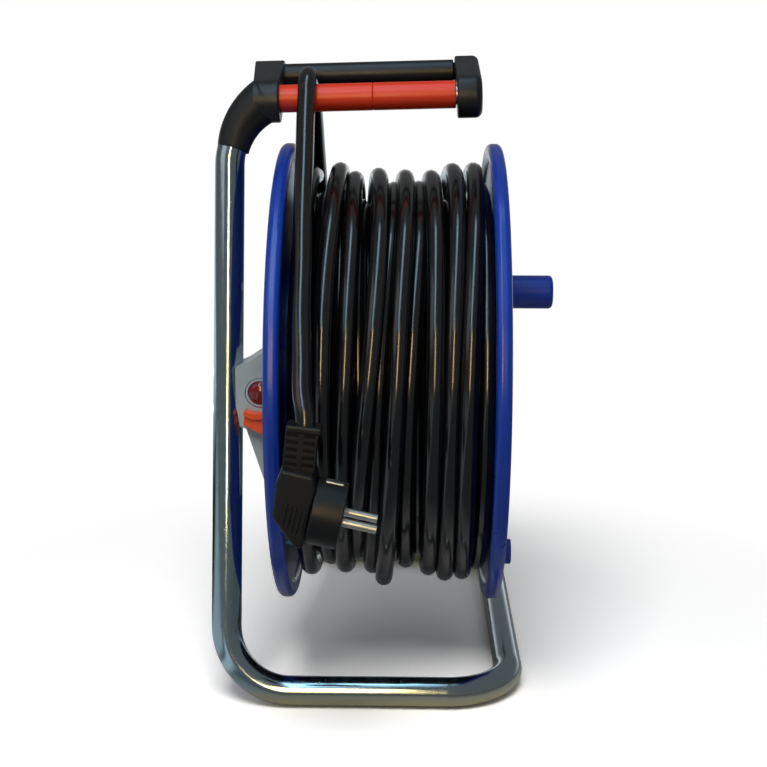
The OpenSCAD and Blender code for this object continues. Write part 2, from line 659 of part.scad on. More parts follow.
place() frame_upper_tube();
place() frame_lower_tube();
place() tube_spigot();
place() spigot_rivets();
place() tube_end_plug();
place() elbow_sleeve();
place() cap_left();
place() cap_right();
place() rear_bar();
place() grip_rod();
place() grip_left();
place() grip_right();
place() handle_screws();
place() hub_shell();
place() saddle_screws();
place() socket_inserts();
place() contact_sleeves();
place() earth_clips();
place() lid_pins();
place() hub_back();
place() back_screws();
place() brush_block();
place() brushes();
place() axle();
place() axle_nut();
place() cutout();
place() button_ring();
place() lever_pin();
place() lid_top();
place() lid_rear();
place() lid_bottom();
place() reset_button();
place() brake_lever();
place() flange_left();
place() flange_right();
place() drum_core();
place() core_screws();
place() bushes();
place() slip_disc();
place() slip_rings();
place() cord_clamp();
place() clamp_screws();
place() centre_cover();
place() cord_peg();
place() knob_pin();
place() winding_knob();
place() knob_cap();
place() cord_bed();
place() cord_layer();
place() cord_tail();
place() cord_free();
place() plug_relief();
place() plug_body();
place() plug_face();
place() plug_pins();
place() plug_earths();
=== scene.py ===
"""Extension cord reel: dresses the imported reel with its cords, its finishes and a plain studio."""
import math

import bmesh
import bpy
import numpy as np
from mathutils import Matrix, Vector


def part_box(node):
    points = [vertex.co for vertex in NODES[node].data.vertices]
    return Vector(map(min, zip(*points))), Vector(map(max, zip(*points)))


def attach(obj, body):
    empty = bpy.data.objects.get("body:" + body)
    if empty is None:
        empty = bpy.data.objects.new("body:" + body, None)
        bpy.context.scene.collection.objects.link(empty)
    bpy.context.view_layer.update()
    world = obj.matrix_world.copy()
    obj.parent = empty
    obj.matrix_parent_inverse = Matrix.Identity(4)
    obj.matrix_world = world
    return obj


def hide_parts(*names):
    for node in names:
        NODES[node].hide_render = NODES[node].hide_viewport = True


bl_info = {
    "name": "Extension Cord Reel",
    "version": (1, 0, 0),
    "blender": (4, 5, 0),
    "location": "View3D > Sidebar > Reel",
    "description": "Builds the cords, finishes and studio of an extension cord reel",
    "category": "Object",
}

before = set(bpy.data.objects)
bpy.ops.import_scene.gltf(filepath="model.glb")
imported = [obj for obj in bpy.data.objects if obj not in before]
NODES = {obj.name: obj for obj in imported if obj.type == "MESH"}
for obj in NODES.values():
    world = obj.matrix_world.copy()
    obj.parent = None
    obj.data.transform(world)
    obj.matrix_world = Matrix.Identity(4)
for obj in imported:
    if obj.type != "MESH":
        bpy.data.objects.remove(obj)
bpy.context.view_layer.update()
MM = 0.001

# Vertices closer than these are one: in a new piece, and in a CAD node before its edges are rounded
NEAR, WELD_NEAR = 0.000005, 0.00001

# In a CAD node, faces that meet at less than the first angle are one, and edges past the second are rounded
FLAT_ANGLE, SHARP_ANGLE = math.radians(0.4), math.radians(32)

# The drum's centre, from the outer faces of the two flanges
LEFT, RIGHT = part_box("flange_left"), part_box("flange_right")
CENTRE = Vector((LEFT[0].x + RIGHT[1].x, LEFT[0].y + LEFT[1].y, LEFT[0].z + LEFT[1].z)) / 2

# Where the plug hangs, from the drum's centre in millimetres, and how far its pins point down
PLUG_AT = Vector((-44, -167, -41.5))
PLUG_TILT = math.radians(12.8)

WHITE = (1.0, 1.0, 1.0)


def at(x, y, z):
    """A point given in millimetres from the drum's centre, in the shared frame."""
    return CENTRE + Vector((x, y, z)) * MM


def on_drum(x, r, angle):
    """A point on the drum: along its axis, out from it, and round from the rear over the top, in degrees."""
    a = math.radians(angle)
    return at(x, r * math.cos(a), r * math.sin(a))


def on_plug(x, y, z):
    """A point of the plug, whose pins point along its own x, in the shared frame."""
    c, s = math.cos(PLUG_TILT), math.sin(PLUG_TILT)
    return at(*(PLUG_AT + Vector((x * c + z * s, y, z * c - x * s))))


class ReelSizes(bpy.types.PropertyGroup):
    """Sizes of the cord and its winding"""
    cord_diameter: bpy.props.FloatProperty(
        name="Cord diameter", description="Outer diameter of the rubber cord",
        default=0.011, min=0.006, max=0.0125, unit="LENGTH")
    slot_x: bpy.props.FloatProperty(
        name="Loose turn", description="Place of the loose turn along the axis, in mm from the middle",
        default=-50.0, min=-56.0, max=-46.0)
    slot_radius: bpy.props.FloatProperty(
        name="Loose turn radius", description="Radius of the loose turn's centre line, in mm",
        default=125.6, min=120.0, max=132.0)
    under_radius: bpy.props.FloatProperty(
        name="Under layer radius", description="Radius of the under layer's centre line, in mm",
        default=105.0, min=90.0, max=114.0)


class ReelColours(bpy.types.PropertyGroup):
    """Colours of the reel's finishes"""
    drum: bpy.props.FloatVectorProperty(
        name="Drum", description="Glossy plastic of the flanges and the knob", subtype="COLOR", size=3,
        min=0.0, max=1.0, default=(0.003, 0.032, 0.29))
    grip: bpy.props.FloatVectorProperty(
        name="Grip", description="Smooth plastic of the carrying grip", subtype="COLOR", size=3,
        min=0.0, max=1.0, default=(0.56, 0.029, 0.005))
    hub: bpy.props.FloatVectorProperty(
        name="Hub", description="Satin plastic of the socket hub", subtype="COLOR", size=3,
        min=0.0, max=1.0, default=(0.33, 0.38, 0.39))
    cord: bpy.props.FloatVectorProperty(
        name="Cord", description="Rubber of the cord", subtype="COLOR", size=3,
        min=0.0, max=1.0, default=(0.003, 0.003, 0.0034))
    black: bpy.props.FloatVectorProperty(
        name="Black plastic", description="Matt plastic of the handle's ends", subtype="COLOR", size=3,
        min=0.0, max=1.0, default=(0.008, 0.008, 0.009))
    zinc: bpy.props.FloatVectorProperty(
        name="Tube", description="Bright plated steel of the frame", subtype="COLOR", size=3,
        min=0.0, max=1.0, default=(0.40, 0.51, 0.57))


def sizes():
    """The sizes that the sidebar shows."""
    return bpy.context.scene.reel_sizes


def colours():
    """The colours that the sidebar shows."""
    return bpy.context.scene.reel_colours


class Graph:
    """A node tree, with short ways to add what the finishes and the studio share."""

    def __init__(self, tree):
        self.tree = tree

    def add(self, kind):
        return self.tree.nodes.new("ShaderNode" + kind)

    def feed(self, socket, value):
        """Links what comes from a node to a socket, and sets anything else on it."""
        if isinstance(value, bpy.types.NodeSocket):
            self.tree.links.new(value, socket)
        elif hasattr(value, "__len__") and len(value) == 3 and len(socket.default_value) == 4:
            socket.default_value = (*value, 1.0)
        else:
            socket.default_value = value

    def axes(self, place):
        """The X, Y and Z of a place."""
        node = self.add("SeparateXYZ")
        self.feed(node.inputs[0], place)
        return [node.outputs[name] for name in "XYZ"]

    def span(self, value, low, high, start=0.3, end=0.7):
        """Runs from low to high as a value goes from start to end."""
        node = self.add("MapRange")
        self.feed(node.inputs["Value"], value)
        for name, number in (("From Min", start), ("From Max", end), ("To Min", low), ("To Max", high)):
            node.inputs[name].default_value = number
        return node.outputs["Result"]

    def join(self, kind, a, b):
        """Two values joined by that kind of sum."""
        node = self.add("Math")
        node.operation = kind
        self.feed(node.inputs[0], a)
        self.feed(node.inputs[1], b)
        return node.outputs["Value"]

    def blend(self, amount, first, second):
        """The first colour where the amount is 0, and the second where it is 1."""
        node = self.add("Mix")
        node.data_type = "RGBA"
        self.feed(node.inputs["Factor"], amount)
        self.feed(node.inputs["A"], first)
        self.feed(node.inputs["B"], second)
        return node.outputs["Result"]

    def glow(self, colour, strength):
        """A shader that gives its own light."""
        node = self.add("Emission")
        self.feed(node.inputs["Color"], colour)
        self.feed(node.inputs["Strength"], strength)
        return node.outputs[0]

    def mix(self, amount, first, second):
        """The first shader where the amount is 0, and the second where it is 1."""
        node = self.add("MixShader")
        for socket, value in zip(node.inputs, (amount, first, second)):
            self.feed(socket, value)
        return node.outputs[0]


class Finish(Graph):
    """One finish's node graph, whose patterns read the piece's own Object coordinates in metres."""

    def __init__(self, name):
        self.material = bpy.data.materials.new(name)
        self.material.use_nodes = True
        super().__init__(self.material.node_tree)
        self.shader = self.tree.nodes["Principled BSDF"]
        self.place = self.add("TexCoord").outputs["Object"]

    def set(self, **values):
        """Feeds the shader's sockets, named with _ for each space."""
        for name, value in values.items():
            self.feed(self.shader.inputs[name.replace("_", " ")], value)

    def stretched(self, scale, turn=(0, 0, 0)):
        """The place, scaled along each axis and turned, for a pattern with a direction."""
        mapping = self.add("Mapping")
        self.feed(mapping.inputs["Vector"], self.place)
        mapping.inputs["Scale"].default_value = scale
        mapping.inputs["Rotation"].default_value = turn
        return mapping.outputs["Vector"]

    def noise(self, scale, detail=3.0, roughness=0.55, vector=None):
        """Cloudy noise, with that many waves to a metre."""
        node = self.add("TexNoise")
        self.feed(node.inputs["Vector"], vector or self.place)
        node.inputs["Scale"].default_value = scale
        node.inputs["Detail"].default_value = detail
        node.inputs["Roughness"].default_value = roughness
        return node.outputs["Fac"]

    def bump(self, height, strength, depth):
        """Raises the surface by a pattern, to a depth in metres."""
        node = self.add("Bump")
        node.inputs["Strength"].default_value = strength
        node.inputs["Distance"].default_value = depth
        self.feed(node.inputs["Height"], height)
        self.set(Normal=node.outputs["Normal"])


def shade(colour, share):
    """A colour made darker or lighter by a share."""
    return tuple(min(1.0, c * share) for c in colour)


def moulded(name, colour, rough, spread=0.05, grain=900.0, grain_depth=0.00006, scuffs=0.06, coat=0.0,
            cloudy=0.1):
    """Moulded plastic: cloudy colour, a fine grain and dull scuff marks."""
    f = Finish(name)
    cloud = f.span(f.noise(22.0), 0.0, 1.0)
    along = f.stretched((9.0, 30.0, 14.0), turn=(0.3, 0.5, 0.2))
    marks = f.noise(7.0, detail=6.0, roughness=0.7, vector=along)
    scuff = f.span(marks, 0.0, scuffs, start=0.58, end=0.72)
    body = f.blend(cloud, shade(colour, 1 - cloudy), shade(colour, 1 + cloudy))
    worn = tuple(0.75 * c + 0.07 for c in colour)
    f.set(Base_Color=f.blend(scuff, body, worn))
    f.set(Roughness=f.join("ADD", f.span(f.noise(60.0), rough - spread, rough + spread), scuff))
    f.set(Specular_IOR_Level=0.38, Coat_Weight=coat, Coat_Roughness=0.14)
    if grain_depth:
        f.bump(f.noise(grain, detail=2.0), strength=0.35, depth=grain_depth)
    return f.material


def plated(name, colour, rough, tint):
    """Plated metal: faint cloudy tint, fine drawing lines and a few scratches."""
    f = Finish(name)
    cloud = f.span(f.noise(16.0, detail=5.0), 0.0, 1.0, start=0.4, end=0.75)
    lines = f.noise(60.0, detail=4.0, roughness=0.6, vector=f.stretched((0.6, 9.0, 9.0)))
    across = f.stretched((4.0, 26.0, 11.0), turn=(0.6, 0.2, 0.9))
    marks = f.noise(11.0, detail=8.0, roughness=0.75, vector=across)
    scratch = f.span(marks, 0.0, 0.22, start=0.63, end=0.72)
    f.set(Base_Color=f.blend(cloud, colour, tint), Metallic=1.0)
    f.set(Roughness=f.join("ADD", f.span(lines, rough - 0.03, rough + 0.05), scratch))
    f.bump(lines, strength=0.12, depth=0.00004)
    return f.material


def bright_zinc(name, colour, rough):
    """Bright zinc on drawn tube: lines along upright and rails, a yellowish reflection painted underneath,
    fine scratches.
    """
    f = Finish(name)
    height = f.axes(f.place)[2]
    low = f.span(height, 1.0, 0.0, start=0.03, end=0.07)
    upright = f.noise(70.0, detail=4.0, roughness=0.6, vector=f.stretched((9.0, 9.0, 0.35)))
    rails = f.noise(70.0, detail=4.0, roughness=0.6, vector=f.stretched((0.35, 9.0, 9.0)))
    lines = f.join("ADD", f.join("MULTIPLY", rails, low),
                   f.join("MULTIPLY", upright, f.join("SUBTRACT", 1.0, low)))
    cloud = f.span(f.noise(18.0, detail=5.0, roughness=0.6), 0.0, 1.0, start=0.42, end=0.72)
    across = f.stretched((22.0, 22.0, 7.0), turn=(0.4, 0.3, 0.2))
    marks = f.noise(13.0, detail=8.0, roughness=0.75, vector=across)
    scratch = f.span(marks, 0.0, 0.25, start=0.62, end=0.7)
    # Painted reflection: a yellowish tint on the tube's lowest part, full below 5 mm and gone by 15 mm
    under = f.span(height, 1.0, 0.0, start=0.005, end=0.015)
    clear = f.blend(under, colour, (0.50, 0.47, 0.31))
    darker_tone_and_painted_reflection = f.blend(under, shade(colour, 0.86), (0.58, 0.51, 0.27))
    f.set(Base_Color=f.blend(cloud, clear, darker_tone_and_painted_reflection), Metallic=1.0)
    f.set(Roughness=f.join("ADD", f.span(lines, rough - 0.04, rough + 0.07), scratch))
    f.bump(lines, strength=0.15, depth=0.00004)
    return f.material


def rubber(name, colour, rough):
    """Cord jacket: black rubber with a soft sheen, slight waves and dusty smears."""
    f = Finish(name)
    dust = f.span(f.noise(34.0, detail=6.0, roughness=0.65), 0.0, 0.3, start=0.52, end=0.75)
    fleck = f.span(f.noise(420.0, roughness=0.6), 0.0, 0.25, start=0.62, end=0.75)
    uneven = f.span(f.noise(90.0), rough - 0.05, rough + 0.06)
    f.set(Base_Color=f.blend(f.join("MAXIMUM", dust, fleck), colour, (0.017, 0.016, 0.015)))
    f.set(Roughness=f.join("ADD", uneven, f.join("MULTIPLY", dust, 0.12)))
    f.set(Specular_IOR_Level=0.85)
    f.bump(f.noise(180.0, detail=2.0, roughness=0.4), strength=0.15, depth=0.0001)
    return f.material


def finish(name):
    """The finish of that slot, made once."""
    label = name + "_finish"
    if label in bpy.data.materials:
        return bpy.data.materials[label]
    c = colours()
    makers = {
        "drum_blue": lambda: moulded(label, c.drum, 0.30, spread=0.03, grain=700.0, grain_depth=0.00001,
                                     scuffs=0.01, coat=0.25, cloudy=0.04),
        "grip_red": lambda: moulded(label, c.grip, 0.30, spread=0.02, grain_depth=0.0, scuffs=0.005,
                                    cloudy=0.03),
        "hub_grey": lambda: moulded(label, c.hub, 0.42),
        "socket_red": lambda: moulded(label, shade(c.grip, 0.8), 0.28),
        "button_red": lambda: moulded(label, (0.16, 0.006, 0.008), 0.12, spread=0.03, grain=600.0,
                                      grain_depth=0.00002, scuffs=0.03, coat=0.5),
        "lever_orange": lambda: moulded(label, (0.72, 0.075, 0.018), 0.3),
        "black_plastic": lambda: moulded(label, c.black, 0.36, grain=1100.0, scuffs=0.08),
        "elbow_black": lambda: moulded(label, c.black, 0.5, grain=1300.0, grain_depth=0.0001, scuffs=0.05),
        "plug_black": lambda: moulded(label, shade(c.black, 0.7), 0.40, spread=0.06, grain=800.0,
                                      scuffs=0.08),
        # Near-black matt finish of the blocks that paint the shade inside the plug's slots
        "painted_slot_shade": lambda: moulded(label, (0.002, 0.002, 0.002), 0.8, grain_depth=0.00002, scuffs=0.0),
        "bush_white": lambda: moulded(label, (0.66, 0.65, 0.58), 0.4),
        "carbon": lambda: moulded(label, (0.02, 0.02, 0.02), 0.55),
        "zinc_tube": lambda: bright_zinc(label, c.zinc, 0.13),
        "steel": lambda: plated(label, (0.56, 0.57, 0.58), 0.28, tint=(0.44, 0.43, 0.41)),
        "brass": lambda: plated(label, (0.60, 0.38, 0.13), 0.26, tint=(0.42, 0.25, 0.09)),
        "pin_nickel": lambda: plated(label, (0.80, 0.79, 0.75), 0.32, tint=(0.66, 0.64, 0.58)),
        "cord_black": lambda: rubber(label, c.cord, 0.17),
    }
    return makers[name]()


def even_shading(piece):
    """Shades rounded edges smoothly and leaves the large faces flat."""
    even = piece.modifiers.new("Even shading", "WEIGHTED_NORMAL")
    even.weight = 90
    even.keep_sharp = False


def dress(slot, rounding, *names):
    """Gives CAD nodes their finish, and rounds their edges where a size in millimetres is given."""
    for name in names:
        node = NODES[name]
        node.data.materials.clear()
        node.data.materials.append(finish(slot))
        if not rounding:
            continue
        custom = node.data.attributes.get("custom_normal")
        if custom:
            node.data.attributes.remove(custom)
        node.data.shade_smooth()
        weld = node.modifiers.new("Merge", "WELD")
        weld.merge_threshold = WELD_NEAR
        flat = node.modifiers.new("Flat faces", "DECIMATE")
        flat.decimate_type = "DISSOLVE"
        flat.angle_limit = FLAT_ANGLE
        edge = node.modifiers.new("Rounded edges", "BEVEL")
        edge.width = rounding * MM
        edge.segments = 3
        edge.limit_method = "ANGLE"
        edge.angle_limit = SHARP_ANGLE
        edge.harden_normals = False
        even_shading(node)


def tube(name, points, diameter, body, replaced, resolution=4):
    """A round cord of one open spline through points in the shared frame."""
    line = bpy.data.curves.new(name, "CURVE")
    line.dimensions = "3D"
    line.bevel_depth = diameter / 2
    line.bevel_resolution = 4
    line.resolution_u = resolution
    line.render_resolution_u = resolution
    line.use_fill_caps = True
    spline = line.splines.new("BEZIER")
    spline.bezier_points.add(len(points) - 1)
    for knot, point in zip(spline.bezier_points, points):
        knot.co = point
        knot.handle_left_type = knot.handle_right_type = "AUTO"
    line.materials.append(finish("cord_black"))
    piece = bpy.data.objects.new(name, line)
    bpy.context.scene.collection.objects.link(piece)
    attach(piece, body)
    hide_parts(*replaced)
    return piece


def solid(name, bm, slot, body, replaced=(), look=None):
    """A piece made from a bmesh that already has its place in the shared frame."""
    bmesh.ops.remove_doubles(bm, verts=bm.verts, dist=NEAR)
    bmesh.ops.recalc_face_normals(bm, faces=bm.faces)
    mesh = bpy.data.meshes.new(name)
    bm.to_mesh(mesh)
    bm.free()
    mesh.materials.append(finish(look or slot))
    mesh.shade_smooth()
    piece = bpy.data.objects.new(name, mesh)
    bpy.context.scene.collection.objects.link(piece)
    even_shading(piece)
    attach(piece, body)
    if replaced:
        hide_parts(*replaced)
    return piece


def rounded(bm, radius, segments=4, sharper=0.6, among=None):
    """Rounds the edges of a bmesh, or those given, whose faces meet at an angle sharper than that."""
    sharp = [e for e in among or bm.edges if len(e.link_faces) == 2 and e.calc_face_angle() > sharper]
    bmesh.ops.bevel(bm, geom=sharp, offset=radius * MM, offset_type="OFFSET", segments=segments, profile=0.5,
                    affect="EDGES", material=-1, clamp_overlap=True)


def block(bm, centre, size, turn=0.0):
    """Adds a box of that size in millimetres, turned about Y."""
    place = Matrix.Translation(centre) @ Matrix.Rotation(turn, 4, "Y")
    bmesh.ops.create_cube(bm, size=1.0, matrix=place @ Matrix.Diagonal((*(Vector(size) * MM), 1.0)))


def turned(bm, profile, centre, axis, steps, closed):
    """Spins a profile's points once round an axis, with the last joined to the first where it is closed."""
    rows = [bm.verts.new(point) for point in profile]
    edges = [bm.edges.new(pair) for pair in zip(rows, rows[1:] + rows[:1] if closed else rows[1:])]
    bmesh.ops.spin(bm, geom=rows + edges, cent=centre, axis=axis, angle=2 * math.pi, steps=steps,
                   use_merge=True)


# The angles of the loose turn's points, in degrees round the drum
LOOSE_TURN = range(-280, 45, 12)

# Route of the free cord after the loose turn: over the grip and down to the plug
FREE_ROUTE = (
    (-50, 60, 118), (-50, 34, 142), (-50, 12, 163), (-50.5, 2, 173), (-51, -6, 181.5), (-51, -15, 184.5),
    (-51, -24, 186.2), (-51, -33, 182.5), (-51, -39, 174.5), (-51, -48, 162.5), (-50.5, -67, 138.5),
    (-50, -90, 110.5), (-49, -112, 82), (-48.5, -131, 58), (-47, -147, 37), (-46, -160, 20))

# The plug's strain relief: its foot on the plug, its lean, its length and the depth of the cord in it
RELIEF_AT, RELIEF_TILT = (-7.4, 20), math.radians(6.5)
RELIEF_LENGTH, RELIEF_BORE = 26.5, 11


def in_relief(height, side=0, depth=0):
    """A point of the plug's strain relief, up along it, across it and out of its face."""
    c, s = math.cos(RELIEF_TILT), math.sin(RELIEF_TILT)
    return on_plug(RELIEF_AT[0] + side * c - height * s, depth, RELIEF_AT[1] + side * s + height * c)


class REEL_OT_free_cord(bpy.types.Operator):
    """Lays the free end of the cord once round the drum, over the grip and down to the plug"""
    bl_idname = "reel.free_cord"
    bl_label = "Free Cord"

    def execute(self, context):
        s = sizes()
        points = [on_drum(s.slot_x, s.slot_radius, a) for a in LOOSE_TURN]
        points += [at(*p) for p in FREE_ROUTE]
        points += [in_relief(RELIEF_LENGTH), in_relief(RELIEF_LENGTH - RELIEF_BORE)]
        cord = tube("free_cord", points, s.cord_diameter, "frame", ["cord_free"], resolution=8)
        return {"FINISHED"}


# Each turn of the outer layer: places along the axis at these angles, and its radius at top, front and bottom
TURN_ANGLES, RADIUS_ANGLES = (90, 130, 150, 172, 192, 230, 270), (90, 172, 270)
TURNS = (
    ((-31, -34, -38, -38, -38, -38, -36), (130.5, 126, 117)),
    ((-23, -21, -24, -27, -28, -31, -28), (124.5, 119, 124.5)),
    ((-10, -6, -6, -10, -15, -23, -21), (125.5, 125, 116)),
    ((3, 4, -2, -6, -9, -13, -14), (117, 117, 128)),
    ((10, 9, 4, 3, 1, -4, -5), (123, 125, 135)),
    ((17, 18, 14, 12, 11, 10, 10), (115.5, 116, 122)),
    ((25, 28, 29, 25, 25, 22, 22), (121.5, 124, 125)),
    ((38, 40, 37, 33, 37, 35, 36), (127.5, 121, 130)),
    ((51, 50, 46, 44, 44, 44, 45), (127.5, 124, 128)),
    ((56, 57, 55, 54, 54, 52, 54), (116, 117, 123)),
)
LAST_TURN = 360 * (len(TURNS) - 1)

# The ends of the outer layer, which dip into the layer under it: angle, place along the axis and radius
FIRST_DIP = [(-10, -36, 106), (30, -35, 117)]
LAST_DIP = [(LAST_TURN + 310, 55, 116), (LAST_TURN + 350, 56, 106)]

# The outer layer's points to a turn, the angles between its dips, and its room along the axis and out from it
TURN_STEPS = 48
TOP_FROM, TOP_TO = 40, LAST_TURN + 300
LEAST_X, MOST_X = -38.4, 56.5
LEAST_R, MOST_R = 114.8, 136.0

# How its turns wander along the axis and out from it: how far, the waves to a turn, and the first one's start
WANDER_X, WANDER_R = (1.8, 1.37, 40), (1.4, 2.11, 0)

# How often its turns are pushed apart, by what share of the overlap, and how many turns on that reaches
ROUNDS, PUSH, REACH = 90, 0.3, 4

# The evening out in the first rounds and after each push, and how many first rounds there are
EVEN_FIRST, EVEN_AFTER, FIRST_ROUNDS = 0.2, 0.008, 12

# The share of a cord's diameter that its turns keep apart, and the least gap that is pushed along
KEPT_APART, LEAST_GAP = 0.93, 0.1


def wander(angles, size, waves, start):
    """How far a turn is off its route at those angles."""
    return size * np.sin(np.radians(waves * angles + start))


def even_out(share, *lines):
    """Moves each inner value of a line by a share towards its neighbours."""
    for line in lines:
        line[1:-1] += share * (line[:-2] + line[2:] - 2 * line[1:-1])


def wound_route(spacing):
    """Centre line of the outer layer: the turns above, pushed apart until no two lie in each other."""
    knots = list(FIRST_DIP)
    for i, (xs, radii) in enumerate(TURNS):
        rs = np.interp(TURN_ANGLES, RADIUS_ANGLES, radii)
        knots += [(360 * i + a, x, r) for a, x, r in zip(TURN_ANGLES, xs, rs)]
    knots = np.array(knots + LAST_DIP, float)
    angles = np.arange(knots[0, 0], knots[-1, 0] + 0.1, 360 / TURN_STEPS)
    x = np.interp(angles, knots[:, 0], knots[:, 1])
    r = np.interp(angles, knots[:, 0], knots[:, 2])
    on_top = (angles > TOP_FROM) & (angles < TOP_TO)
    x += wander(angles, *WANDER_X)
    r += wander(angles, *WANDER_R)
    for count in range(ROUNDS):
        if count < FIRST_ROUNDS:
            even_out(EVEN_FIRST, x, r)
        for apart in range(TURN_STEPS, REACH * TURN_STEPS + 1, TURN_STEPS):
            dx, dr = x[apart:] - x[:-apart], r[apart:] - r[:-apart]
            gap = np.maximum(np.hypot(dx, dr), LEAST_GAP)
            push = np.maximum(0, spacing - gap) / gap * PUSH
            x[apart:] += push * dx
            x[:-apart] -= push * dx
            r[apart:] += push * dr
            r[:-apart] -= push * dr
            even_out(EVEN_AFTER, x, r)
        x = np.clip(x, LEAST_X, MOST_X)
        r = np.where(on_top, np.clip(r, LEAST_R, MOST_R), r)
    return [on_drum(*p) for p in zip(x, r, angles)]


# The under layer: half its width, the gap between its turns, and its points to a turn
UNDER_HALF, UNDER_GAP, UNDER_STEPS = 56.5, 0.1, 36

# It rises by this much under the loose turn, left of this place, and by this much at the drum's bottom
LOOSE_LIFT, LOOSE_FROM, LIFT_RUN, BOTTOM_LIFT = 8.7, -40, 5, 7.5

# The deepest layers: half their width, and their radius inside and outside
DEEP_HALF, DEEP_IN, DEEP_OUT = 59.5, 72, 102

# The tail that goes into the core: its place along the axis, its angle and its points' radii
TAIL_X, TAIL_ANGLE, TAIL_RADII = 20, 75, (48, 60, 72, 84)


class REEL_OT_winding(bpy.types.Operator):
    """Winds the cord on the drum: a plain under layer and a loose outer layer"""
    bl_idname = "reel.winding"
    bl_label = "Wound Cord"

    def execute(self, context):
        s = sizes()
        d = s.cord_diameter / MM
        tube("wound_cord", wound_route(KEPT_APART * d), s.cord_diameter, "drum", ["cord_layer"], resolution=3)
        tube("under_cord", self.under_route(d), s.cord_diameter, "drum", ["cord_bed"], resolution=2)
        bm = bmesh.new()
        corners = ((-DEEP_HALF, DEEP_IN), (-DEEP_HALF, DEEP_OUT), (DEEP_HALF, DEEP_OUT), (DEEP_HALF, DEEP_IN))
        turned(bm, [at(x, 0, r) for x, r in corners], CENTRE, (1, 0, 0), 96, closed=False)
        solid("inner_layers", bm, "cord_black", "drum")
        tail = [on_drum(TAIL_X, r, TAIL_ANGLE) for r in TAIL_RADII]
        tube("tail_cord", tail, s.cord_diameter, "drum", ["cord_tail"])
        return {"FINISHED"}

    def under_route(self, diameter):
        turns = 2 * UNDER_HALF / (diameter + UNDER_GAP)
        last = int(turns * UNDER_STEPS)
        route = []
        for i in range(last + 1):
            x = -UNDER_HALF + 2 * UNDER_HALF * i / last
            angle = 360 / UNDER_STEPS * i
            lift = LOOSE_LIFT * min(1.0, max(0.0, (LOOSE_FROM - x) / LIFT_RUN))
            fill = BOTTOM_LIFT * max(0.0, -math.sin(math.radians(angle)))
            route.append(on_drum(x, sizes().under_radius + max(lift, fill), angle))
        return route


class REEL_OT_drum(bpy.types.Operator):
    """Finishes the flanges, the core and what turns with them"""
    bl_idname = "reel.drum"
    bl_label = "Drum"

    def execute(self, context):
        dress("drum_blue", 0.5, "centre_cover", "cord_peg")
        dress("drum_blue", 0, "flange_left", "flange_right", "drum_core")
        dress("steel", 0.3, "core_screws", "clamp_screws", "knob_pin")
        dress("bush_white", 0, "bushes")
        dress("black_plastic", 0, "slip_disc", "cord_clamp")
        dress("brass", 0, "slip_rings")
        return {"FINISHED"}


class REEL_OT_knob(bpy.types.Operator):
    """Finishes the winding knob"""
    bl_idname = "reel.knob"
    bl_label = "Winding Knob"

    def execute(self, context):
        dress("drum_blue", 0.5, "winding_knob", "knob_cap")
        return {"FINISHED"}


class REEL_OT_tubes(bpy.types.Operator):
    """Finishes the bent tubes of the frame"""
    bl_idname = "reel.tubes"
    bl_label = "Frame Tubes"

    def execute(self, context):
        dress("zinc_tube", 0, "frame_upper_tube", "frame_lower_tube")
        dress("steel", 0.2, "tube_spigot", "spigot_rivets", "saddle_screws")
        dress("black_plastic", 0.8, "tube_end_plug")
        return {"FINISHED"}


# The handle: its grip's axis in y and z from the drum's centre, its left end, and the tilt of its free end
GRIP_AT = (-24, 172)
HANDLE_LEFT, HANDLE_TILT = -81, math.radians(1.6)

# The two rounded ends of each cap: y, z and radius
CAP_ENDS = ((-24, 171, 13.2), (18, 186, 9.5))

# Each cap: its left side, its width, the way it faces, its outer rounding, and its ends' reach past that side
CAPS = {
    "cap_left": ("left_end_cap", HANDLE_LEFT, 13, -1, 2.2, (30 / 14, 72 / 14)),
    "cap_right": ("right_end_cap", 39, 15, 1, 4.2, (0, 0)),
}

# The rounding of a cap's inner edges
INNER_ROUNDING = 1.0

# The right cap's recess: the width of its rim and of its slope, and its depth
RECESS_RIM, RECESS_SLOPE, RECESS_DEPTH = 0.9, 0.5, 1.0

# The upright's leaning plane passes through the grip's axis and this foot, given as the grip's axis is
FOOT = (-99, -177.5)

# In that plane, the upright's place along the axis, the tube's radius and its top bend's
UPRIGHT_X, TUBE_R, TOP_BEND = -97.5, 9.0, 40.0

# The elbow on that bend: its start and sweep, its wall and its lip, and its swell outwards and all round
ELBOW_START, ELBOW_SWEEP = math.radians(14), math.radians(50)
ELBOW_WALL, ELBOW_LIP = 0.7, 0.92
SWELL, SWELL_ALL_ROUND = 0.85, 0.27


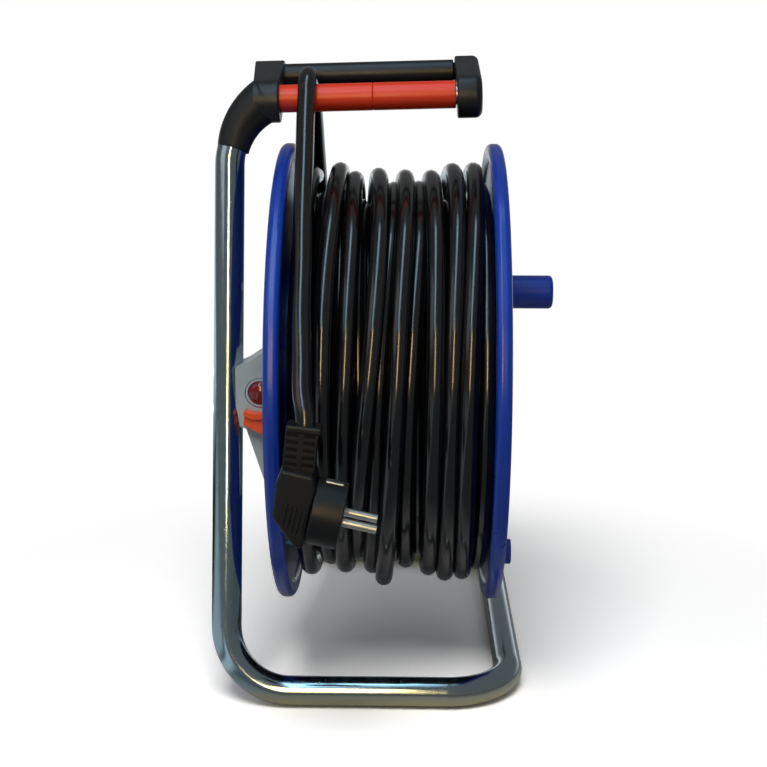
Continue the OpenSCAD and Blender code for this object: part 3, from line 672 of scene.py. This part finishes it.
class REEL_OT_handle(bpy.types.Operator):
    """Finishes the grip and the rear bar, and shapes the rounded end caps and the elbow"""
    bl_idname = "reel.handle"
    bl_label = "Handle"

    def execute(self, context):
        dress("grip_red", 0.6, "grip_left", "grip_right")
        dress("black_plastic", 0.8, "rear_bar")
        dress("steel", 0.3, "grip_rod", "handle_screws")
        for node in CAPS:
            self.cap(node)
        self.elbow()
        return {"FINISHED"}

    def cap(self, node):
        name, x, width, out, rounding, reaches = CAPS[node]
        bm = bmesh.new()
        across = Matrix.Rotation(math.pi / 2, 4, "Y")
        for (y, z, r), reach in zip(CAP_ENDS, reaches):
            for end in (x - reach, x + width):
                bmesh.ops.create_circle(bm, segments=72, radius=r * MM,
                                        matrix=Matrix.Translation(at(end, y, z)) @ across)
        hull = bmesh.ops.convex_hull(bm, input=bm.verts[:])
        inner = [e for e in hull["geom_interior"] if isinstance(e, bmesh.types.BMVert)]
        bmesh.ops.delete(bm, geom=inner, context="VERTS")
        loose = [e for e in bm.edges if not e.link_faces]
        bmesh.ops.delete(bm, geom=loose, context="EDGES")
        bmesh.ops.dissolve_limit(bm, angle_limit=math.radians(1), verts=bm.verts, edges=bm.edges)
        middle = at(x + width / 2, 0, 0).x
        outside = [e for e in bm.edges if all((v.co.x - middle) * out > 0 for v in e.verts)]
        rounded(bm, rounding, segments=6, sharper=1.0, among=outside)
        inside = [e for e in bm.edges if all((v.co.x - middle) * out < -width * 0.49 * MM for v in e.verts)]
        rounded(bm, INNER_ROUNDING, segments=3, sharper=1.0, among=inside)
        if node == "cap_right":
            outer = max((f for f in bm.faces if abs(f.normal.x) > 0.9),
                        key=lambda f: (f.calc_center_median().x, f.calc_area()))
            bmesh.ops.inset_region(bm, faces=[outer], thickness=RECESS_RIM * MM, depth=0.0)
            bmesh.ops.inset_region(bm, faces=[outer], thickness=RECESS_SLOPE * MM, depth=-RECESS_DEPTH * MM)
        bmesh.ops.rotate(bm, verts=bm.verts, cent=at(HANDLE_LEFT, 0, GRIP_AT[1]),
                         matrix=Matrix.Rotation(-HANDLE_TILT, 3, "Y"))
        solid(name, bm, "black_plastic", "frame", [node])

    def elbow(self):
        run, rise = FOOT[0] - GRIP_AT[0], GRIP_AT[1] - FOOT[1]
        lean, length = math.atan2(-run, rise), math.hypot(run, rise)
        middle = Vector((UPRIGHT_X + TOP_BEND, 0, length - TOP_BEND)) * MM
        bm = bmesh.new()
        first = middle + Vector((-math.cos(ELBOW_START), 0, math.sin(ELBOW_START))) * TOP_BEND * MM
        place = Matrix.Translation(first) @ Matrix.Rotation(ELBOW_START, 4, "Y")
        ring = bmesh.ops.create_circle(bm, segments=48, radius=(TUBE_R + ELBOW_WALL) * MM, matrix=place)
        lip = bm.edges[:]
        bmesh.ops.spin(bm, geom=ring["verts"] + lip, cent=middle, axis=(0, 1, 0), angle=ELBOW_SWEEP, steps=20)
        inward = bmesh.ops.extrude_edge_only(bm, edges=lip)["geom"]
        edge = [v for v in inward if isinstance(v, bmesh.types.BMVert)]
        bmesh.ops.scale(bm, vec=(ELBOW_LIP,) * 3, verts=edge, space=Matrix.Translation(-first))
        for v in bm.verts:
            turn = math.atan2(v.co.z - middle.z, middle.x - v.co.x)
            out = Vector((-math.cos(turn), 0, math.sin(turn)))
            along = max(0.0, (turn - ELBOW_START) / ELBOW_SWEEP)
            line = middle + out * TOP_BEND * MM
            away = v.co - line
            side = SWELL_ALL_ROUND + (1 - SWELL_ALL_ROUND) * away.normalized().dot(out)
            v.co = line + away * (1 + SWELL * along * max(0.0, side))
        stand = Matrix.Translation(at(0, *FOOT)) @ Matrix.Rotation(-lean, 4, "X")
        bmesh.ops.transform(bm, matrix=stand, verts=bm.verts)
        solid("elbow", bm, "black_plastic", "frame", ["elbow_sleeve"], look="elbow_black")


# The button's dome, as a share of its radius, and its collar's wall and its clearance from the turning flange
DOME = 0.5
COLLAR_WALL, COLLAR_CLEAR = 1.5, 0.4


class REEL_OT_hub(bpy.types.Operator):
    """Finishes the socket hub, its lids, its button and its lever"""
    bl_idname = "reel.hub"
    bl_label = "Socket Hub"

    def execute(self, context):
        dress("hub_grey", 0.8, "hub_shell")
        dress("socket_red", 0.5, "socket_inserts", "lid_top", "lid_rear", "lid_bottom")
        self.button()
        self.button_collar()
        dress("lever_orange", 1.0, "brake_lever")
        dress("brass", 0, "contact_sleeves", "earth_clips")
        dress("steel", 0.2, "lid_pins", "back_screws", "axle", "axle_nut", "lever_pin")
        dress("black_plastic", 0.4, "hub_back", "brush_block", "cutout")
        dress("carbon", 0, "brushes")
        return {"FINISHED"}

    def button(self):
        low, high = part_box("reset_button")
        radius, front = (high.x - low.x) / 2, Vector(((low.x + high.x) / 2, low.y, (low.z + high.z) / 2))
        depth = radius * DOME
        bm = bmesh.new()
        ball = bmesh.ops.create_uvsphere(bm, u_segments=48, v_segments=24, radius=radius)["verts"]
        bmesh.ops.scale(bm, vec=(1, DOME, 1), verts=ball)
        bmesh.ops.translate(bm, verts=ball, vec=front + Vector((0, depth, 0)))
        stem = Matrix.Translation(front + Vector((0, depth * 1.5, 0))) @ Matrix.Rotation(math.pi / 2, 4, "X")
        bmesh.ops.create_cone(bm, cap_ends=True, segments=48, radius1=radius, radius2=radius, depth=depth,
                              matrix=stem)
        solid("button_dome", bm, "button_red", "reset_button", ["reset_button"])

    def button_collar(self):
        low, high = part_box("button_ring")
        outer, middle = (high.x - low.x) / 2 - COLLAR_CLEAR * MM, (low + high) / 2
        inner = outer - COLLAR_WALL * MM
        corners = ((inner, low.y), (outer, low.y), (outer, high.y), (inner, high.y))
        bm = bmesh.new()
        turned(bm, [(middle.x + r, y, middle.z) for r, y in corners], middle, (0, 1, 0), 64, closed=True)
        bmesh.ops.remove_doubles(bm, verts=bm.verts, dist=NEAR)
        rounded(bm, 0.5, segments=3, sharper=1.0)
        solid("button_collar", bm, "hub_grey", "frame", ["button_ring"])


# The collar at the relief's end: its height along the relief and its size
PLUG_COLLAR_AT, PLUG_COLLAR = 23.4, (18.8, 15.2, 3.8)

# The finger ribs on the plug's two sides: the first one's place, the step to the next, and their size
RIB_COUNT, RIB_AT, RIB_STEP = 5, Vector((-10, 15.1, -1.5)), Vector((2.6, 0, -0.8))
RIB = (1.2, 1.6, 13)

# Blocks of painted shade in the relief's slots: the first one's height, the step to the next, their place
# across and out, and their size
SLOT_COUNT, SLOT_AT, SLOT_STEP = 5, 4.5, 4
SLOT_ACROSS, SLOT_OUT, SLOT = 4.6, 6.1, (6.4, 0.5, 2.2)


class REEL_OT_plug(bpy.types.Operator):
    """Finishes the angled plug and adds its collar, finger ribs and dark blocks of painted shade in its slots
    """
    bl_idname = "reel.plug"
    bl_label = "Plug"

    def execute(self, context):
        dress("plug_black", 1.8, "plug_body", "plug_face")
        dress("plug_black", 0.3, "plug_relief")
        dress("pin_nickel", 0.9, "plug_pins", "plug_earths")
        lean = PLUG_TILT - RELIEF_TILT
        bm = bmesh.new()
        block(bm, in_relief(PLUG_COLLAR_AT), PLUG_COLLAR, lean)
        rounded(bm, 1.2)
        solid("plug_collar", bm, "plug_black", "frame")
        bm = bmesh.new()
        for side in (-1, 1):
            for i in range(RIB_COUNT):
                x, y, z = RIB_AT + RIB_STEP * i
                block(bm, on_plug(x, y * side, z), RIB, PLUG_TILT)
        rounded(bm, 0.4, segments=2)
        solid("plug_ribs", bm, "plug_black", "frame")
        # Dark blocks just inside the relief's slots, painting the shade in them
        bm = bmesh.new()
        for i in range(SLOT_COUNT):
            for across in (-SLOT_ACROSS, SLOT_ACROSS):
                for out in (-SLOT_OUT, SLOT_OUT):
                    block(bm, in_relief(SLOT_AT + SLOT_STEP * i, across, out), SLOT, lean)
        solid("plug_slot_shades", bm, "plug_black", "frame", look="painted_slot_shade")
        return {"FINISHED"}


# The camera: its place from the drum's centre in millimetres, its turns, and its focal length in pixels
CAMERA_AT = (10.8, -887.3, 180.2)
PITCH, YAW, ROLL = math.radians(12.0), math.radians(-1.05), math.radians(0.16)
FOCAL, IMAGE, SENSOR = 1399.8, 767.0, 36.0

# Each lamp: place and size in metres, power, colour, and the one kind of ray that it is kept to
LAMPS = {
    "key_light": ((-0.12, -0.80, 1.25), (0.6, 0.6), 13.5, (1.0, 0.99, 0.97), "diffuse"),
    "side_light": ((-0.95, -0.65, 0.95), (0.8, 0.8), 1.2, (1.0, 0.97, 0.92), ""),
    "rear_light": ((0.35, 1.05, 1.15), (1.0, 1.0), 1.8, (0.95, 0.98, 1.0), "diffuse"),
    "window_strip": ((-0.16, -0.55, 1.34), (0.32, 1.6), 6.0, (0.50, 0.80, 1.0), "glossy"),
    "warm_strip": ((-0.10, -1.35, 0.62), (0.16, 0.7), 4.2, (1.0, 0.72, 0.34), "glossy"),
}
LAMPS_AIM = Vector((0, 0, 0.19))

# The floor: its half size and its drop below the part, its colours for bounced light and for the camera, and
# the light of its own that keeps its shadow soft
FLOOR_HALF, FLOOR_DROP = 6.0, 0.0003
FLOOR_BOUNCE, FLOOR_SEEN, FLOOR_LIFT = (0.6, 0.6, 0.6), (1.5, 1.5, 1.5), 0.02

# The room that the metal and the cord reflect: its shade, and the tint of its far floor
ROOM, FAR_FLOOR = (0.16, 0.165, 0.168), (0.82, 0.95, 1.0)


class REEL_OT_stage(bpy.types.Operator):
    """Sets up the floor, the soft light and the camera"""
    bl_idname = "reel.stage"
    bl_label = "Stage"

    def execute(self, context):
        scene = context.scene
        scene.view_settings.view_transform = "Standard"
        self.camera(scene)
        self.floor(scene)
        self.world(scene)
        for name in LAMPS:
            self.lamp(scene, name)
        return {"FINISHED"}

    def camera(self, scene):
        ahead = Vector((math.sin(YAW) * math.cos(PITCH), math.cos(YAW) * math.cos(PITCH), -math.sin(PITCH)))
        level = Vector((math.cos(YAW), -math.sin(YAW), 0))
        upward = level.cross(ahead)
        right = math.cos(ROLL) * level + math.sin(ROLL) * upward
        up = math.cos(ROLL) * upward - math.sin(ROLL) * level
        data = bpy.data.cameras.new("camera")
        data.sensor_width = SENSOR
        data.lens = SENSOR * FOCAL / IMAGE
        data.clip_start = 0.05
        view = bpy.data.objects.new("camera", data)
        turn = Matrix((right, up, -ahead)).transposed()
        view.matrix_world = Matrix.Translation(at(*CAMERA_AT)) @ turn.to_4x4()
        scene.collection.objects.link(view)
        scene.camera = view

    def lamp(self, scene, name):
        place, size, power, colour, only = LAMPS[name]
        data = bpy.data.lights.new(name, "AREA")
        data.shape = "RECTANGLE"
        data.size, data.size_y = size
        data.energy = power
        data.color = colour
        lamp = bpy.data.objects.new(name, data)
        towards = LAMPS_AIM - Vector(place)
        lamp.rotation_euler = towards.to_track_quat("-Z", "Y").to_euler()
        lamp.location = place
        lamp.visible_diffuse, lamp.visible_glossy = only != "glossy", only != "diffuse"
        scene.collection.objects.link(lamp)

    def floor(self, scene):
        bm = bmesh.new()
        bmesh.ops.create_grid(bm, x_segments=2, y_segments=2, size=FLOOR_HALF)
        bmesh.ops.translate(bm, verts=bm.verts, vec=(0, 0, -FLOOR_DROP))
        mesh = bpy.data.meshes.new("floor")
        bm.to_mesh(mesh)
        bm.free()
        mesh.materials.append(self.floor_finish())
        ground = bpy.data.objects.new("floor", mesh)
        scene.collection.objects.link(ground)

    def floor_finish(self):
        """A floor that the camera sees as white with the reel's shadow, and metal sees as part of a room."""
        f = Finish("pale_floor")
        f.set(Base_Color=FLOOR_BOUNCE, Roughness=0.9, Specular_IOR_Level=0.0)
        plain = f.shader.outputs[0]
        length = f.add("VectorMath")
        length.operation = "LENGTH"
        f.feed(length.inputs[0], f.place)
        distance = length.outputs["Value"]
        bright = f.add("BsdfDiffuse")
        f.feed(bright.inputs["Color"], FLOOR_SEEN)
        lit = f.add("AddShader")
        f.feed(lit.inputs[0], bright.outputs[0])
        f.feed(lit.inputs[1], f.glow(WHITE, FLOOR_LIFT))
        fade = f.span(distance, 0.0, 1.0, start=0.19, end=0.37)
        seen = f.mix(fade, lit.outputs[0], f.glow(WHITE, 1.0))
        beyond = f.span(distance, 0.0, 1.0, start=0.11, end=0.2)
        mirrored = f.mix(beyond, plain, f.glow(FAR_FLOOR, self.surroundings(f)))
        path = f.add("LightPath").outputs
        bounced = f.mix(path["Is Glossy Ray"], plain, mirrored)
        direct = f.join("MAXIMUM", path["Is Camera Ray"], path["Is Transmission Ray"])
        f.feed(f.tree.nodes["Material Output"].inputs["Surface"], f.mix(direct, bounced, seen))
        return f.material

    def surroundings(self, f):
        """How bright the far floor is in the metal: by direction from the upright, and white to the rear."""
        x, y, _ = f.axes(f.place)
        bearing = f.join("ARCTAN2", f.join("ADD", x, 0.1), f.join("MULTIPLY", y, -1.0))
        wall = f.join("MULTIPLY", f.span(bearing, 0.0, 0.5, start=-1.75, end=-1.45),
                      f.span(bearing, 1.0, 0.2, start=-0.55, end=-0.42))
        window = f.join("MULTIPLY", f.span(bearing, 0.0, 0.6, start=-0.40, end=-0.34),
                        f.span(bearing, 1.0, 0.0, start=-0.24, end=-0.16))
        rear = f.span(y, 0.0, 1.0, start=0.3, end=0.9)
        return f.join("MAXIMUM", f.join("ADD", f.join("ADD", wall, window), 0.04), rear)

    def world(self, scene):
        """White for the camera, and for all else a dim room with a white backdrop behind the reel."""
        world = bpy.data.worlds.new("studio")
        scene.world = world
        world.use_nodes = True
        g = Graph(world.node_tree)
        white, room = g.tree.nodes["Background"], g.add("Background")
        g.feed(white.inputs["Color"], WHITE)
        _, y, z = g.axes(g.add("TexCoord").outputs["Generated"])
        behind = g.span(y, 0.0, 1.0, start=0.45, end=0.95)
        low = g.span(z, 1.0, 0.0, start=0.02, end=0.2)
        g.feed(room.inputs["Color"], g.blend(g.join("MULTIPLY", behind, low), ROOM, WHITE))
        path = g.add("LightPath").outputs
        direct = g.join("MAXIMUM", path["Is Camera Ray"], path["Is Transmission Ray"])
        whole = g.mix(direct, room.outputs[0], white.outputs[0])
        g.feed(g.tree.nodes["World Output"].inputs["Surface"], whole)


class REEL_PT_panel(bpy.types.Panel):
    """Lists the reel's pieces in the sidebar"""
    bl_label = "Extension Cord Reel"
    bl_idname = "REEL_PT_panel"
    bl_space_type = "VIEW_3D"
    bl_region_type = "UI"
    bl_category = "Reel"

    def draw(self, context):
        for group in (context.scene.reel_sizes, context.scene.reel_colours):
            for name in group.bl_rna.properties.keys():
                if name not in ("rna_type", "name"):
                    self.layout.prop(group, name)
        for piece in PIECES:
            self.layout.operator(piece.bl_idname)


PIECES = (REEL_OT_stage, REEL_OT_free_cord, REEL_OT_winding, REEL_OT_drum, REEL_OT_knob, REEL_OT_tubes,
          REEL_OT_handle, REEL_OT_hub, REEL_OT_plug)
CLASSES = (ReelSizes, ReelColours, *PIECES, REEL_PT_panel)


def register():
    for cls in CLASSES:
        bpy.utils.register_class(cls)
    bpy.types.Scene.reel_sizes = bpy.props.PointerProperty(type=ReelSizes)
    bpy.types.Scene.reel_colours = bpy.props.PointerProperty(type=ReelColours)


def unregister():
    del bpy.types.Scene.reel_colours
    del bpy.types.Scene.reel_sizes
    for cls in reversed(CLASSES):
        bpy.utils.unregister_class(cls)


def main():
    register()
    bpy.ops.reel.stage()
    bpy.ops.reel.free_cord()
    bpy.ops.reel.winding()
    bpy.ops.reel.drum()
    bpy.ops.reel.knob()
    bpy.ops.reel.tubes()
    bpy.ops.reel.handle()
    bpy.ops.reel.hub()
    bpy.ops.reel.plug()


if __name__ == "__main__":
    main()
